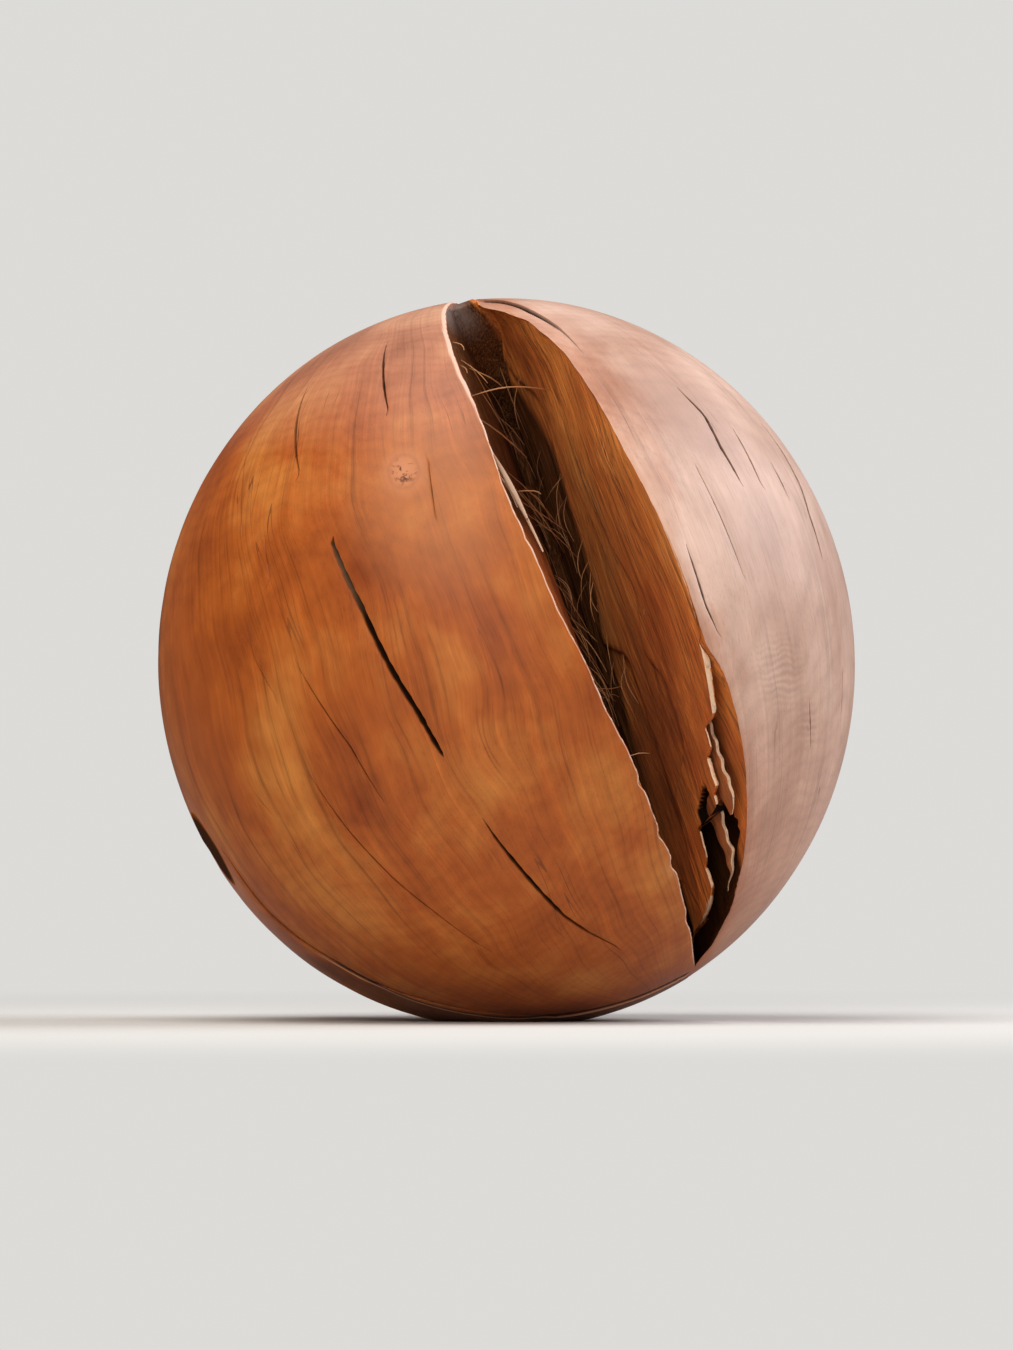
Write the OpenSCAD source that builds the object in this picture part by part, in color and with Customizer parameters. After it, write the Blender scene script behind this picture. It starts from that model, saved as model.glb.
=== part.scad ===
// Turned wooden ball with an open drying fissure.
//
// One log section, pith included, turned green and left to dry. The wood shrank more across the grain
// than along it, so the ball is a little longer than wide, and it split along the pith. Every split is a
// radial plane through the pith, so all of them are placed in one pith frame: z runs up along the pith
// from the ball's middle, r is the distance from the pith, and an angle is measured from straight ahead
// (-Y), positive to the right. The origin is the middle of the flat that the ball stands on.

/* [Ball] */
// Width of the ball across the grain
ball_w = 448; // [370:1:545]
// How much longer the ball is along the grain, which shrinks less
grain_extra = 22; // [6:1:34]
// Lean of the long axis, foot to the right, in degrees
ball_lean = 4.4; // [0:0.1:8]
// Width of the flat that the ball stands on
flat_w = 96; // [70:1:130]

/* [Pith] */
// Where the pith passes the middle of the ball, to the right of its centre
pith_right = 53; // [30:1:70]
// Where the pith passes the middle of the ball, behind its centre
pith_back = 21; // [0:1:40]
// Lean of the pith, head to the left, in degrees
pith_lean = 18.8; // [8:0.1:26]
// Lean of the pith, head to the back, in degrees
pith_nod = 5.7; // [0:0.1:10]
// Radius of the decayed heart around the pith
heart_r = 13; // [5:0.5:18]

/* [Fissure] */
// Direction of the left wall at the middle of the ball, in degrees
left_wall = -1.7; // [-8:0.1:3]
// Direction of the right wall at the middle of the ball, in degrees
right_wall = 19.4; // [14:0.1:21]
// Turn of the left wall over each 100 mm down the pith, in degrees
left_turn = 2.4; // [0:0.1:4]
// Turn of the right wall over each 100 mm down the pith, in degrees
right_turn = 1.1; // [0:0.1:2]
// Foot of the fissure, as a height along the pith
fissure_foot = -211; // [-215:1:-195]
// Height of the ridges that the torn grain leaves on the walls
ridge = 1.5; // [0:0.1:3]

/* [Torn strips] */
// Direction of the shell's own wall where the outer strips have broken away, in degrees
shell_wall = 23.8; // [22.5:0.1:27]
// Direction of the hollow behind the standing splinters, in degrees
hollow_wall = 28; // [26:0.1:32]
// Thickness of the standing splinters
splinter_t = 5; // [3:0.5:7]

/* [Checks] */
// Width of the widest check
check_w = 3.6; // [2:0.1:5]
// Depth of the deepest check
check_depth = 45; // [25:1:60]

/* [Wear] */
// Depth of the small worn patch low on the left
patch_depth = 1.5; // [0.5:0.1:3]

/* [Hidden] */
$fn = 180;

half_w = ball_w / 2;
half_l = half_w + grain_extra / 2;
// The outline is four arcs that meet at 45 degrees: flatter on the sides, rounder on the ends
arc_shift = (half_l - half_w) * (1 + sqrt(0.5));
side_r = half_w + arc_shift;
end_r = half_l - arc_shift;
// Half height of the leaning ball, and how far its foot stands to the right of its centre
half_h = norm([half_l * cos(ball_lean), half_w * sin(ball_lean)]);
foot_x = (half_l * half_l - half_w * half_w) * sin(ball_lean) * cos(ball_lean) / half_h;
// Height of the ball's centre over the flat, and the flat's own sideways shift
centre_h = half_h * sqrt(1 - pow(flat_w / ball_w, 2));
flat_x = foot_x * centre_h / half_h;
centre = [-flat_x, 0, centre_h];
// How far cutters run out past the skin
overrun = 12;
// Direction of the worn patch from the ball's centre
PATCH = [-188, -25, -119];

// Lip directions, as [height along the pith, share of the full opening]
CLOSING = [[fissure_foot, 0.04], [fissure_foot + 6, 0.55], [fissure_foot + 22, 0.88],
           [fissure_foot + 48, 1], [178, 1], [212, 0.9], [224, 0.74], [232, 0.62], [262, 0.62]];
// Radius of the heart along the pith, as [height, share of heart_r]
HEART = [[fissure_foot, 0.03], [-175, 0.25], [-110, 0.6], [-20, 1], [150, 1.1], [215, 0.6], [262, 0.5]];
// Near its head the fissure leaves the pith and runs out at the skin, as [height, distance from the pith]
RUN_OUT = [[150, 0], [176, 12], [195, 30], [210, 50], [220, 62], [230, 68], [240, 71], [262, 73]];

// Checks, as [share of check_w, share of check_depth, path of [height along the pith, angle]]
CHECKS = [
    [1, 1, [[104, -31.4], [56, -28.7], [11, -27.1], [-18, -25.8], [-47, -25.1]]],
    [0.7, 0.65, [[-96, -24.1], [-147, -22.9], [-177, -20.9], [-190, -18.3]]],
    [0.45, 0.3, [[223, -24.2], [204, -22.7], [174, -20.6]]],
    [0.55, 0.4, [[212, -43], [173, -38.9], [154, -37.1]]],
    [0.75, 0.5, [[131, 39.1], [110, 40.2], [62, 39.5]]],
    [0.45, 0.3, [[96, 46.8], [60, 45.6]]],
    [0.9, 0.5, [[104, 65.1], [80, 65], [35, 60.9], [5, 59.8]]],
    [0.5, 0.3, [[70, 53.9], [50, 53.8]]],
    [0.4, 0.35, [[78, 30.3], [48, 30.5], [2, 31.2]]],
    [0.6, 0.4, [[28, 20.6], [8, 20.9], [-28, 21.3]]],
    [0.4, 0.25, [[-83, 44.6], [-106, 45.8]]],
    [0.35, 0.3, [[38, -40.7], [-24, -36.9], [-62, -36.3]]],
    [0.4, 0.35, [[-28, -44.9], [-70, -43.8], [-135, -40.8], [-166, -39.7]]],
    [0.45, 0.5, [[-50, -72.5], [-112, -72.4], [-155, -69.2], [-182, -65.4], [-208, -61.5]]],
    [0.95, 1, [[240, 2], [234, 9.6], [219, 17.4], [200, 20.6], [184, 21.2], [164, 21.4]]],
];

// Frame and skin ------------------------------------------------------------------------------------

module at_pith() {
    translate(centre + [pith_right, pith_back, 0])
        rotate([-pith_nod, -pith_lean, 0])
            children();
}

// Directions of the pith, of a ray at an angle around it and of the ball's long axis
pith_up = [-sin(pith_lean) * cos(pith_nod), sin(pith_nod), cos(pith_lean) * cos(pith_nod)];
ahead = [-sin(pith_lean) * sin(pith_nod), -cos(pith_nod), cos(pith_lean) * sin(pith_nod)];
right = [cos(pith_lean), 0, sin(pith_lean)];
long_axis = [sin(ball_lean), 0, -cos(ball_lean)];
function ray(angle) = sin(angle) * right + cos(angle) * ahead;

// Distance from the pith to the skin at a height along the pith and an angle around it
function skin_product(p, q) = p * q / pow(half_w, 2)
    + (p * long_axis) * (q * long_axis) * (1 / pow(half_l, 2) - 1 / pow(half_w, 2));
function skin_r(height, angle) =
    let (p = [pith_right, pith_back, 0] + height * pith_up, e = ray(angle),
         a = skin_product(e, e), b = skin_product(p, e),
         c = skin_product(p, p) - 1)
    (sqrt(max(b * b - a * c, 0)) - b) / a;
function skin_from_centre(way) = norm(way) / sqrt(skin_product(way, way));

// Point of the pith frame
function spot(r, angle, height) = [r * sin(angle), -r * cos(angle), height];

// Solid through a list of rings, each counter-clockwise from above, from the lowest up. A ring starts at
// the middle of its outer side, so that its ends close by a ladder from point to opposite point.
module loft(rings) {
    m = len(rings[0]);
    last = (len(rings) - 1) * m;
    ladder = [[0, 1, m - 1], for (j = [1:floor(m / 2) - 1])
        each [[j, j + 1, m - j], if (j + 1 < m - 1 - j) [j + 1, m - 1 - j, m - j]]];
    sides = [for (base = [0:m:last - m], j = [0:m - 1])
        let (a = base + j, b = base + (j + 1) % m)
            each [[a, b + m, b], [a, a + m, b + m]]];
    head = [for (t = ladder) [last + t[2], last + t[1], last + t[0]]];
    polyhedron([for (ring = rings) each ring], concat(ladder, head, sides), convexity = 8);
}

// Ball ----------------------------------------------------------------------------------------------

module half_outline() {
    joint = arc_shift + end_r * sqrt(0.5);
    intersection() {
        union() {
            for (side = [-1, 1])
                translate([0, side * arc_shift])
                    circle(r = end_r);
            intersection() {
                translate([-arc_shift, 0])
                    circle(r = side_r);
                translate([0, -joint])
                    square([half_l, 2 * joint]);
            }
        }
        translate([0, -half_l])
            square(2 * half_l);
    }
}

module turned_ball() {
    intersection() {
        translate(centre)
            rotate([0, -ball_lean, 0])
                rotate_extrude()
                    half_outline();
        translate([-ball_w, -ball_w, 0])
            cube([2 * ball_w, 2 * ball_w, centre_h + 2 * half_l]);
    }
}

// Fissure -------------------------------------------------------------------------------------------

function opening(height) = lookup(height, CLOSING);
function middle(height) = (left_wall + right_wall - (left_turn + right_turn) * height / 100) / 2;
function left_at(height) =
    middle(height) + (left_wall - left_turn * height / 100 - middle(height)) * opening(height);
function right_at(height) =
    middle(height) + (right_wall - right_turn * height / 100 - middle(height)) * opening(height);

// Relief of the torn grain, in mm off the wall: it runs along the pith and changes across it
function relief(lane, height) =
    ridge * (sin(1.3 * height + 97 * lane) + 0.6 * sin(2.9 * height + 211 * lane));

// Ring of the fissure at one height: out over the skin, in along the right wall, round the heart and
// out along the left wall
function fissure_ring(height) =
    let (heart = heart_r * lookup(height, HEART), ahead_of_pith = lookup(height, RUN_OUT),
         inner = heart + ahead_of_pith,
         left = left_at(height), right = right_at(height),
         middle_spot = spot(ahead_of_pith, (left + right) / 2, height),
         out_r = max(skin_r(height, (left + right) / 2), inner) + overrun,
         wall = [0.82, 0.6, 0.4, 0.2])
    concat(
        [spot(out_r, (left + right) / 2, height), spot(out_r, right, height)],
        [for (k = [0:3])
            let (r = inner + (out_r - inner) * wall[k])
            spot(r, right + opening(height) * relief(k, height) / r * 57.3, height)],
        [for (angle = [right + 30:(300 - right + left) / 4:right + 340])
            middle_spot + spot(heart, angle, 0)],
        [for (k = [3:-1:0])
            let (r = inner + (out_r - inner) * wall[k])
            spot(r, left + opening(height) * relief(k + 7, height) / r * 57.3, height)],
        [spot(out_r, left, height)]
    );

module fissure() {
    low = [fissure_foot, fissure_foot + 6, fissure_foot + 14, fissure_foot + 22];
    high = [195, 205, 214, 222, 230, 240, 262];
    loft([for (height = [each low, each [fissure_foot + 38:18:186], each high]) fissure_ring(height)]);
}

// Sector cut or left standing: an outline of [r, height] turned from one angle to another
module sector(from, to, outline) {
    rotate([0, 0, from - 90])
        rotate_extrude(angle = to - from)
            polygon(outline);
}

// Flat splinter whose front face lies in the radial plane at an angle
module splinter(angle, outline) {
    rotate([0, 0, angle - 90])
        rotate([90, 0, 0])
            translate([0, 0, -splinter_t])
                linear_extrude(splinter_t)
                    polygon(outline);
}

// Strips broken out between the fissure's right wall and the shell's own wall
module lost_strips() {
    rim = half_l + overrun;
    sector(right_wall - 1, shell_wall,
        [[rim, -30], [212, -34], [197, -48], [193, -76], [178, -82], [171, -94], [158, -100],
         [156, -115], [153, -126], [138, -130], [127, -117], [112, -121], [100, -200], [rim, -200]]);
}

// Gap that opens between the shell and the plate of wood left along the fissure's right wall
module gap() {
    sector(shell_wall - 2, shell_wall + 0.15,
        [[half_l + overrun, -20], [216, -24], [192, -46], [176, -70], [150, -92], [124, -108],
         [112, -128], [half_l + overrun, -128]]);
}

// Hollow behind the standing splinters
module hollow() {
    sector(right_wall - 1, hollow_wall,
        [[134, -126], [128, -112], [119, -118], [104, -110], [70, -122], [40, -118], [18, -135],
         [18, -168], [40, -190], [62, -198], [84, -184], [112, -162], [136, -140]]);
}

module splinters() {
    // Long tongue, the last of the fissure's right wall
    splinter(right_wall + 0.4,
        [[116, -90], [114, -125], [111, -140], [107, -155], [100, -171], [89, -179], [75, -184],
         [64, -189], [52, -192], [44, -188], [34, -173], [30, -165], [28, -90]]);
    // Flap behind its outer edge
    splinter(shell_wall - 1.3,
        [[166, -60], [163, -108], [165, -120], [159, -131], [149, -135], [140, -118], [128, -60]]);
    // Short tongue behind the two
    splinter(right_wall + 3.8,
        [[136, -100], [129, -133], [125, -144], [127, -155], [118, -164], [107, -171], [96, -176],
         [92, -154], [84, -100]]);
}

// Checks --------------------------------------------------------------------------------------------

function check_ring(width, depth, path, t) =
    let (height = path[len(path) - 1][0] + t * (path[0][0] - path[len(path) - 1][0]),
         angle = lookup(height, path),
         swell = max(pow(sin(180 * t), 0.6), 0.06),
         skin = skin_r(height, angle),
         half = width * swell / 2 / skin * 57.3,
         root = max(skin - depth * swell, 2))
    [spot(root, angle, height),
     spot(skin, angle - half, height), spot(skin + overrun, angle - half, height),
     spot(skin + overrun, angle + half, height), spot(skin, angle + half, height)];

// Radial split, open at the skin and closing to its root and to its ends
module check(width, depth, path) {
    steps = 10;
    loft([for (i = [0:steps]) check_ring(width, depth, path, i / steps)]);
}

// Small flat worn into the ball's lower left
module worn_patch() {
    translate(centre)
        rotate([0, acos(PATCH.z / norm(PATCH)), atan2(PATCH.y, PATCH.x)])
            translate([-half_w / 2, -half_w / 2, skin_from_centre(PATCH) - patch_depth])
                cube(half_w);
}

module ball() {
    color([0.62, 0.36, 0.2])
        union() {
            difference() {
                turned_ball();
                worn_patch();
                at_pith() {
                    fissure();
                    lost_strips();
                    gap();
                    hollow();
                    for (c = CHECKS)
                        check(c[0] * check_w, c[1] * check_depth, c[2]);
                }
            }
            at_pith()
                splinters();
        }
}

ball();
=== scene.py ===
import math
import random

import bmesh
import bpy
import numpy as np
from mathutils import Euler, Matrix, Vector, noise


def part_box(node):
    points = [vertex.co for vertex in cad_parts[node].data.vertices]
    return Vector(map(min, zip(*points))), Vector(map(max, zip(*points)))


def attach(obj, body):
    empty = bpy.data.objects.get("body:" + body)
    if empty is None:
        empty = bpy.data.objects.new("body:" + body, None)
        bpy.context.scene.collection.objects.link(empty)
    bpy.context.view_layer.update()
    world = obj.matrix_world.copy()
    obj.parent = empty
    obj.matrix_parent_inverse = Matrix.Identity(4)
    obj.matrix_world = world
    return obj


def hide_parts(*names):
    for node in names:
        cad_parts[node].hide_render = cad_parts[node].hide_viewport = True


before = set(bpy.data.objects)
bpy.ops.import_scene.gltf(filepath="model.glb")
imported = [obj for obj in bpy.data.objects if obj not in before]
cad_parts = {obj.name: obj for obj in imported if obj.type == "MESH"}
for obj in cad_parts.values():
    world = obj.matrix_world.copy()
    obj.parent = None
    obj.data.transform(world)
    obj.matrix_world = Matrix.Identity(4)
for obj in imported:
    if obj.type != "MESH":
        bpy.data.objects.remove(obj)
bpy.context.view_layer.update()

bl_info = {
    "name": "Split Wooden Ball",
    "version": (1, 0, 0),
    "blender": (4, 5, 0),
    "location": "View3D > Sidebar > Ball",
    "description": "Builds the finished look of a turned wooden ball that split open as it dried",
    "category": "Object",
}

# Ball and pith, in millimetres and degrees. The ball's frame is the CAD frame; the pith frame has z up
# along the pith, with r the distance from it and an angle from straight ahead (-Y), positive to the right.
MM = 0.001  # in metres
METRE = 1000  # in millimetres
LOW, HIGH = (Vector(corner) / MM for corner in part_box("ball"))
GRAIN_EXTRA = 22  # how much longer the ball is along the grain
HALF_W = (HIGH.y - LOW.y) / 2
HALF_L = HALF_W + GRAIN_EXTRA / 2
MEAN_R = 235  # first guess of the distance from the pith's middle to the skin
BALL_LEAN = math.radians(4.4)
HALF_H = math.hypot(HALF_L * math.cos(BALL_LEAN), HALF_W * math.sin(BALL_LEAN))
CENTRE = Vector(((LOW.x + HIGH.x) / 2, (LOW.y + HIGH.y) / 2, HIGH.z - HALF_H))
PITH_RIGHT, PITH_BACK = 53, 21
PITH_LEAN_BACK, PITH_LEAN_LEFT = 5.7, 18.8
PITH_AT = CENTRE + Vector((PITH_RIGHT, PITH_BACK, 0))
PITH_TURN = Euler((math.radians(-PITH_LEAN_BACK), math.radians(-PITH_LEAN_LEFT), 0)).to_matrix()
FOOT = -211  # height along the pith where the fissure closes

# The ball's surface as x.METRIC.x = 1, seen from where the pith passes the middle, in the pith frame
LONG_AXIS = Vector((math.sin(BALL_LEAN), 0, -math.cos(BALL_LEAN)))
METRIC = np.eye(3) / HALF_W ** 2
METRIC += np.outer(LONG_AXIS, LONG_AXIS) * (1 / HALF_L ** 2 - 1 / HALF_W ** 2)
TURN = np.array(PITH_TURN)
METRIC = TURN.T @ METRIC @ TURN
START = TURN.T @ np.array(PITH_AT - CENTRE)


def unit(value):
    """A value held between 0 and 1."""
    return np.clip(value, 0, 1)


def line(knots, blur):
    """A function of height through (height, value) knots, rounded off over blur millimetres."""
    knots = sorted(knots)
    heights = np.arange(-330, 331)
    values = np.interp(heights, [k[0] for k in knots], [k[1] for k in knots])
    kernel = np.hanning(2 * blur + 3)
    values = np.convolve(np.pad(values, blur + 1, mode="edge"), kernel / kernel.sum(), mode="valid")
    return lambda height: np.interp(height, heights, values)


def reach(polar, angle):
    """Distance from the middle of the pith to the skin, at a polar angle from the pith and an angle round it."""
    ray = np.stack([np.sin(polar) * np.sin(angle), -np.sin(polar) * np.cos(angle), np.cos(polar)], -1)
    a = np.einsum("...i,ij,...j", ray, METRIC, ray)
    b = np.einsum("...i,ij,j", ray, METRIC, START)
    c = START @ METRIC @ START - 1
    return (np.sqrt(b * b - a * c) - b) / a


def spot(r, angle, height):
    """Points of the pith frame, as an array."""
    return np.stack([r * np.sin(angle), -r * np.cos(angle), height], -1)


def placed(points):
    """Points of the pith frame as metres in the ball's frame."""
    return (points @ TURN.T + np.array(PITH_AT)) * MM


def wobble(points, scale, seed=0.0):
    """Smooth noise from -1 to 1 at each point, after scaling each axis."""
    flat = points.reshape(-1, 3) * np.array(scale)
    values = [noise.noise(Vector(p) + Vector((seed, 1.7 * seed, -seed))) for p in flat]
    return np.array(values).reshape(points.shape[:-1])


# Lips of the fissure, as directions round the pith at each height along it, and where they meet at its foot
SHUT_AT = 2.0
LEFT_LIP = line([(262, -9), (240, -9), (202, -6.8), (167, -5), (142, -4.4), (88, -3.8), (51, -2.8), (12, -2),
                 (-22, -0.8), (-54, -0.2), (-85, 1.3), (-138, 2.2), (-157, 3.4), (-195, 3.2), (-211, 2)], 8)
RIGHT_UPPER = [(262, 4), (240, 5), (231, 6.2), (224, 11), (211, 15.3), (198, 15.7), (178, 17.2), (142, 17.5),
               (102, 17.5), (68, 18.3), (34, 18.9), (3, 19.3)]
RIGHT_LIP = line([*RIGHT_UPPER, (-33, 19.6), (-54, 21.9), (-85, 23.1), (-111, 23.8), (-139, 23.7), (-162, 23.2),
                  (-189, 21.1), (-205, 14.6), (-211, 2.3)], 3)
# The right wall below its lip: the plate's front, which parts from the shell in the lower half
RIGHT_WALL = line([*RIGHT_UPPER, (-33, 19.3), (-60, 18.9), (-85, 18.6), (-110, 18.3), (-160, 17.9), (-189, 17.0),
                   (-205, 12.5), (-211, 2.3)], 3)
# Radius of the decayed heart round the pith
HEART_R = line([(262, 5), (225, 8), (150, 14), (-20, 13), (-110, 9), (-175, 5), (-211, 2)], 10)
# Near its head the fissure leaves the pith and runs out at the skin: distance from the pith to its back
RUN_OUT = line([(262, 70), (240, 66), (230, 62), (220, 55), (210, 43), (195, 24), (176, 8), (160, 0)], 5)
# The right wall's front is a plate whose outer edge, as a distance from the pith, sinks below the skin, and
# steps inward where strips have broken off down to its last long tongue. Behind it a gap opens to the shell.
PLATE_END = line([(262, 400), (-20, 400), (-28, 208), (-45, 206), (-71, 196), (-76, 194), (-78, 172), (-93, 172),
                  (-95, 159), (-105, 158), (-116, 159), (-118, 150), (-127, 149), (-129, 135), (-130, 102),
                  (-141, 100), (-152, 97), (-154, 89), (-168, 90), (-174, 82), (-179, 71), (-182, 60), (-184, 40),
                  (-187, 20), (-195, 12), (-211, 8)], 1)
# Lower end of the tongue toward the pith, as (distance from the pith, height)
TONGUE_FOOT = [(14, -148), (28, -156), (33, -166), (36, -176), (42, -186), (400, -260)]
PLATE_SINK = line([(262, 0), (58, 0), (36, 0.6), (20, 1), (0, 1.8), (-20, 3), (-43, 5), (-211, 5)], 4)
PLATE_THICK = line([(262, 0.3), (58, 0.3), (40, 1.2), (16, 2), (0, 3.4), (-45, 4.2), (-74, 3.2), (-78, 1.0), (-92, 1.2),
                    (-96, 2.8), (-116, 2.6), (-126, 1.4), (-150, 1.1), (-156, 2.4), (-176, 2.2), (-186, 1.4),
                    (-211, 0.5)], 2)
GAP_DEPTH = line([(262, 0), (58, 0), (34, 1.5), (20, 2.5), (0, 6), (-20, 12), (-45, 26), (-75, 44), (-100, 66),
                  (-130, 105), (-180, 90), (-198, 12), (-211, 4)], 5)
# Edges of thinner plates inside the right wall: the distance from the pith at each height, and the step in mm
PLATE_STEPS = [
    (line([(262, 100), (165, 115), (145, 113), (123, 106), (88, 102), (51, 112), (23, 124), (-13, 99), (-36, 117),
           (-79, 120), (-97, 92), (-102, 74), (-211, 40)], 5), 2.6),
    (line([(262, 60), (209, 34), (186, 42), (164, 67), (119, 58), (80, 54), (40, 50), (8, 27), (-10, 63),
           (-61, 61), (-113, 60), (-164, 58), (-211, 30)], 5), 5.0),
    (line([(262, 170), (120, 160), (98, 166), (57, 168), (23, 190), (-211, 190)], 5), 0.7),
]

# How far the decayed wood reaches from the pith along the right wall
DECAY = line([(262, 0), (222, 0), (200, 18), (176, 40), (130, 56), (60, 46), (0, 36), (-60, 26), (-120, 18),
              (-180, 18), (-211, 24)], 10)

# Tracks of skin columns. Each has a path round the pith and its checks, as (top, foot, width, depth)
TRACKS = [
    ([(262, 8), (240, 8.4), (237, 10.3), (235, 13.4), (232, 16.2), (227, 18), (223, 18.9), (215, 19.8), (205, 20.8),
      (196, 21.4), (162, 21.6), (80, 22.5), (28, 21.6), (-10, 21.6), (-30, 22.6), (-60, 26.5), (-330, 27)],
     [(239, 160, 8.5, 12), (30, -30, 1.6, 5)]),
    ([(262, 30), (130, 30.5), (78, 30.3), (2, 31.3), (-330, 34)], [(80, 0, 0.7, 2)]),
    ([(262, 40), (150, 38), (131, 38.9), (112, 40.4), (88, 39.2), (62, 39.6), (0, 42), (-60, 44.4),
      (-83, 44.6), (-106, 45.8), (-330, 46)], [(134, 60, 2.7, 14), (-82, -108, 1.0, 3)]),
    ([(262, 52), (110, 47), (96, 46.8), (60, 45.6), (0, 50), (-330, 52)], [(98, 56, 1.5, 8)]),
    ([(262, 62), (100, 54), (70, 53.9), (50, 53.8), (-330, 57)], [(73, 47, 1.6, 7)]),
    ([(262, 74), (104, 65.1), (80, 65.2), (56, 63.9), (35, 60.9), (5, 59.8), (-64, 62.4), (-93, 63.1),
      (-330, 66)], [(106, 4, 3.2, 18), (-62, -95, 1.0, 3)]),
    ([(262, 272), (80, 284), (-20, 285), (-55, 287.4), (-92, 286.6), (-112, 287.5), (-135, 289.6),
      (-155, 290.8), (-182, 294.7), (-197, 297), (-212, 301), (-330, 303)], [(-50, -212, 1.7, 9)]),
    ([(262, 300), (192, 305.7), (168, 308.9), (132, 311.7), (80, 306.5), (-26, 304), (-40, 305),
      (-330, 312)], [(194, 130, 0.9, 3), (-24, -42, 0.8, 2)]),
    ([(262, 316), (212, 317), (173, 321), (155, 322.9), (122, 316.5), (96, 317.6), (76, 312), (52, 312.6),
      (26, 314.4), (-28, 315.1), (-70, 316.2), (-110, 317.7), (-135, 319.1), (-166, 320.3), (-330, 324)],
     [(213, 152, 2.0, 10), (124, 92, 0.8, 2), (78, 22, 0.8, 2), (-26, -168, 1.2, 6)]),
    ([(262, 328), (155, 330), (60, 319.5), (38, 319.5), (-24, 323.1), (-62, 323.8), (-120, 326),
      (-330, 331)], [(40, -64, 1.1, 6)]),
    ([(262, 335), (223, 335.8), (204, 337.4), (174, 339.5), (140, 334), (104, 328.6), (56, 331.3),
      (11, 332.9), (-18, 334.2), (-47, 334.9), (-96, 335.9), (-107, 336), (-147, 337.1), (-165, 337.7),
      (-177, 339.1), (-190, 341.7), (-330, 343)],
     [(224, 172, 1.7, 9), (106, -49, 4.0, 30), (-94, -192, 2.7, 18)]),
    ([(262, 346), (167, 343), (146, 344.6), (132, 345.5), (93, 344.8), (-330, 350)], [(134, 92, 0.8, 2)]),
]
PATHS = [line(track[0], 3) for track in TRACKS]
LEDGE = 6  # the track that the ledge on the left runs along
# Fibres that hang across the fissure, as thickness and path, and the shard on the left lip: in mm from the centre
FIBRES = [
    (0.9, [(-19, -140, 170), (-10, -135, 173), (-1, -128, 175), (14, -100, 176), (28, -70, 174)]),
    (1.2, [(-14, -150, 157), (-2, -110, 147), (13, -60, 131)]),
    (0.8, [(-28, -84, 208), (-25, -82, 204), (-27, -86, 199)]),
    (0.8, [(-21, -96, 193), (-24, -98, 188), (-25, -102, 184)]),
    (0.8, [(-19, -84, 198), (-16, -80, 186), (-12, -84, 178)]),
    (0.8, [(-9, -70, 195), (-5, -60, 182), (-2, -50, 176)]),
    (0.9, [(27, -90, 117), (24, -95, 111), (22, -95, 107)]),
    (1.0, [(6, -120, 118), (17, -70, 104), (27, 8, 83)]),
    (0.7, [(30, -32, 119), (28, -25, 112), (25, -5, 104)]),
    (0.9, [(11, -90, 125), (21, -60, 108), (35, -8, 86)]),
    (0.7, [(14, -110, 108), (26, -60, 94), (39, -20, 84)]),
    (0.8, [(19, -60, 115), (29, -55, 90), (37, 0, 71)]),
    (0.6, [(26, -90, 102), (32, -80, 85), (45, -20, 68)]),
    (0.8, [(-8, -60, 180), (1, -60, 154), (8, 10, 126)]),
    (0.7, [(-16, -50, 198), (-9, -50, 170), (3, 12, 140)]),
    (0.6, [(-4, 8, 190), (4, -20, 165), (14, 4, 144)]),
    (0.6, [(36, -80, 62), (45, -60, 38), (55, -4, 16)]),
    (0.6, [(44, -60, 30), (52, -60, 8), (65, -6, -13)]),
    (0.6, [(79, -190, -59), (84, -186, -56), (90, -172, -58)]),
    (0.7, [(79, -102, 31), (84, -116, 27), (91, -128, 30)]),
    (0.6, [(61, -60, -14), (67, -66, -19), (73, -56, -15)]),
    (0.6, [(64, -58, -23), (69, -68, -15), (72, -54, -22)]),
    (0.5, [(66, -60, -10), (63, -66, -18), (70, -58, -25)]),
]
LOOSE_SEED = 7  # of the random fibres that line the heart
SHARDS = [
    (3.6, [(-9, -178, 134), (-3, -183, 122), (3, -187, 110), (9, -191, 98), (13, -193, 90)]),
    (2.0, [(-3, -178, 118), (5, -184, 106), (12, -190, 92), (18, -195, 80), (23, -200, 69)]),
    (1.2, [(-12, -174, 140), (-5, -180, 124), (2, -185, 108), (7, -190, 97)]),
]
# The worn patch: its direction from the ball's centre in the pith frame, and how far out its flat lies
PATCH_WAY = np.array(PITH_TURN.transposed() @ Vector((-188, -25, -119)).normalized())
PATCH_AT = 1 / math.sqrt(PATCH_WAY @ METRIC @ PATCH_WAY) - 1.5
# Rows of the skin and the walls from pole to pole, and columns across each part of the walls
ROWS = 236
LEFT_COLUMNS, HEART_COLUMNS = 56, 10
SHELL_COLUMNS, GAP_COLUMNS, BACK_COLUMNS, EDGE_COLUMNS, FRONT_COLUMNS = 24, 3, 12, 5, 84
NEAR_ROWS = 5  # how many rows on each side are evened out where the plate's edge steps
HOLE_PUSH = 3.2  # degrees by which the hole beside the long tongue is pushed back
SHARP_EDGE = math.radians(62)
WELD = 1e-6  # metres within which vertices are joined


def check_shape(track, height):
    width, depth = np.full(height.shape, 0.4), np.zeros(height.shape)
    for top, foot, wide, deep in TRACKS[track][1]:
        along = unit((top - height) / (top - foot))
        swell = np.sin(np.pi * along) ** (0.14 if wide >= 4 else 0.55)
        if top > 230:
            swell = (1 - along) ** 1.7 * unit(12 * along)
        ragged = 1 + 0.2 * np.sin(height * 0.61 + track) * np.sin(height * 0.23 + 2.0 * track)
        width = np.maximum(width, wide * swell * ragged)
        depth = np.maximum(depth, deep * swell)
    return width, depth


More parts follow.
